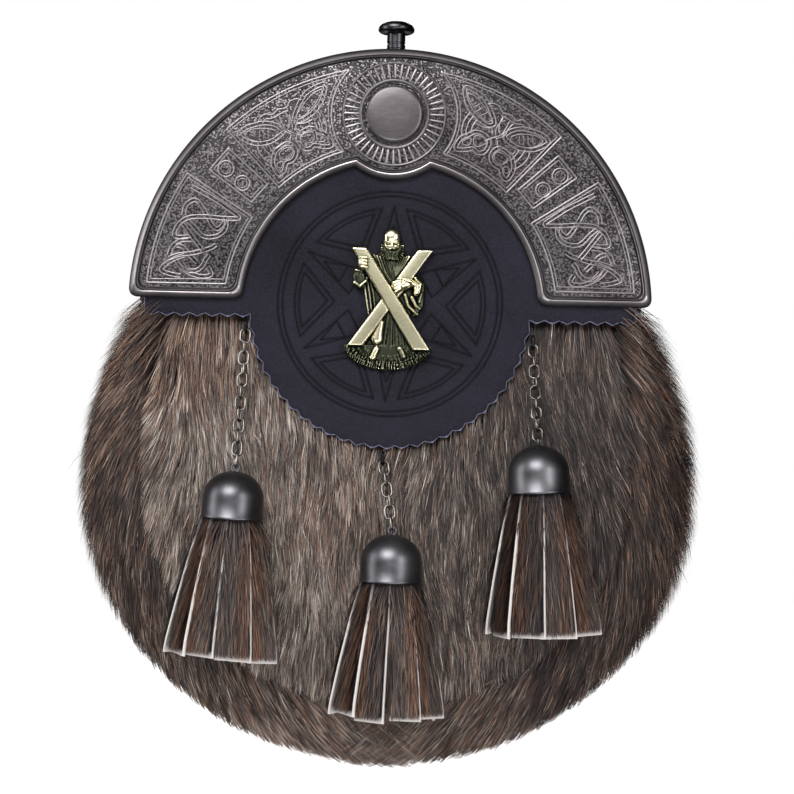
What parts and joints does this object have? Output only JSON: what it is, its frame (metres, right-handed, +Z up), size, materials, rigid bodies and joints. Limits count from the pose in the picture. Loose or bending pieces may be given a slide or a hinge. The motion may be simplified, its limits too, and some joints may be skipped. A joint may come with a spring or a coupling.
{
  "type": "sporran pouch",
  "caption": "Full-dress fur sporran pouch with a half-round metal cantle, push-knob clasp, leather apron, cast badge and hanging tassels.",
  "frame": {"origin": "on the flat back, midway between the two strap loops", "axes": "+Z up, the front faces -Y, +X to the right when seen from the front"},
  "size_m": [0.2062, 0.0716, 0.2571],
  "materials": {
    "pewter": "antique pewter, bright worn ridges and dark recesses",
    "gunmetal": "polished dark gunmetal",
    "chain_nickel": "antique nickel wire",
    "black_wire": "gloss black wire",
    "antique_brass": "polished antique brass with dark recesses",
    "black_leather": "fine grain black leather, matt",
    "back_leather": "smooth black leather",
    "seal_fur": "short grey brown fur, glossy hair",
    "tassel_fur": "dark brown fur on black leather strips"
  },
  "bodies": {
    "pouch": {"cantle": "pewter", "back_frame": "pewter", "apron": "black_leather", "badge": "antique_brass", "front_panel": "seal_fur", "gusset": "seal_fur", "back_panel": "back_leather", "strap_loop_left": "back_leather", "strap_loop_right": "back_leather", "chain_anchor_left": "black_wire", "left_link_01": "chain_nickel", "left_link_02": "chain_nickel", "left_link_03": "chain_nickel", "left_link_04": "chain_nickel", "left_link_05": "chain_nickel", "left_link_06": "chain_nickel", "left_link_07": "chain_nickel", "left_link_08": "chain_nickel", "left_link_09": "chain_nickel", "left_link_10": "chain_nickel", "left_link_11": "chain_nickel", "left_link_12": "chain_nickel", "left_bell": "gunmetal", "left_tassel": "tassel_fur", "chain_anchor_middle": "black_wire", "middle_link_01": "chain_nickel", "middle_link_02": "chain_nickel", "middle_link_03": "chain_nickel", "middle_link_04": "chain_nickel", "middle_link_05": "chain_nickel", "middle_link_06": "chain_nickel", "middle_bell": "gunmetal", "middle_tassel": "tassel_fur", "chain_anchor_right": "black_wire", "right_link_01": "chain_nickel", "right_link_02": "chain_nickel", "right_link_03": "chain_nickel", "right_link_04": "chain_nickel", "right_link_05": "chain_nickel", "right_link_06": "chain_nickel", "right_link_07": "chain_nickel", "right_link_08": "chain_nickel", "right_link_09": "chain_nickel", "right_bell": "gunmetal", "right_tassel": "tassel_fur"},
    "knob": {"knob": "gunmetal"}
  },
  "joints": [
    {"name": "plunger_slide", "type": "slide", "parent": "pouch", "child": "knob", "axis": [0, 0, 1], "range_m": [0, 0.0045], "stiffness_N_per_m": 400, "springref_m": -0.002}
  ]
}
